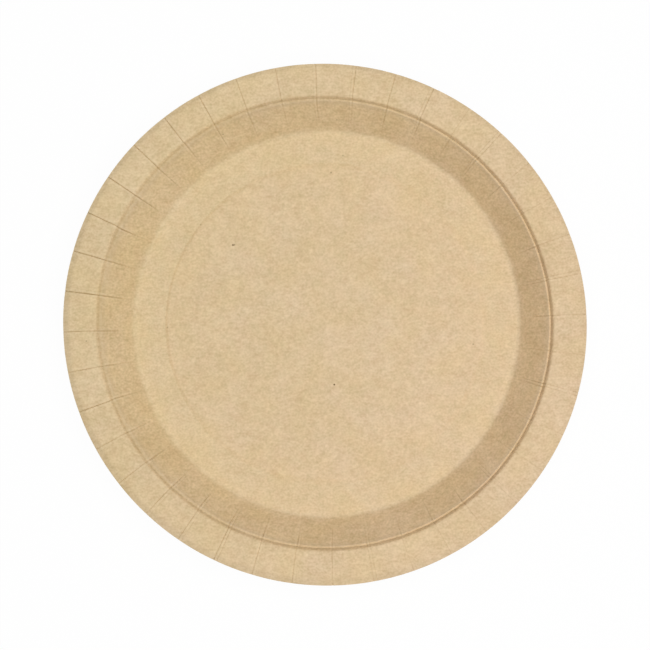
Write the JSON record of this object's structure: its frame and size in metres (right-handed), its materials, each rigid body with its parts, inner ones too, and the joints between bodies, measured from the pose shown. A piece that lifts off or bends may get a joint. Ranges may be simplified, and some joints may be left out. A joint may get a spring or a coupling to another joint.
{
  "type": "paper plate",
  "caption": "Round pressed kraft paper plate with a raised centre panel, a sloped wall, a grooved shoulder and a pleated flange that ends in a turned-down lip.",
  "frame": {"origin": "centre of the plane that the plate stands on, on the plate's axis", "axes": "+Z up along the plate's axis, +X to the right and +Y up as the picture shows it from above"},
  "size_m": [0.23, 0.23, 0.0208],
  "materials": {
    "kraft_board": "matte"
  },
  "bodies": {
    "root": {"plate": "kraft_board"}
  },
  "joints": []
}
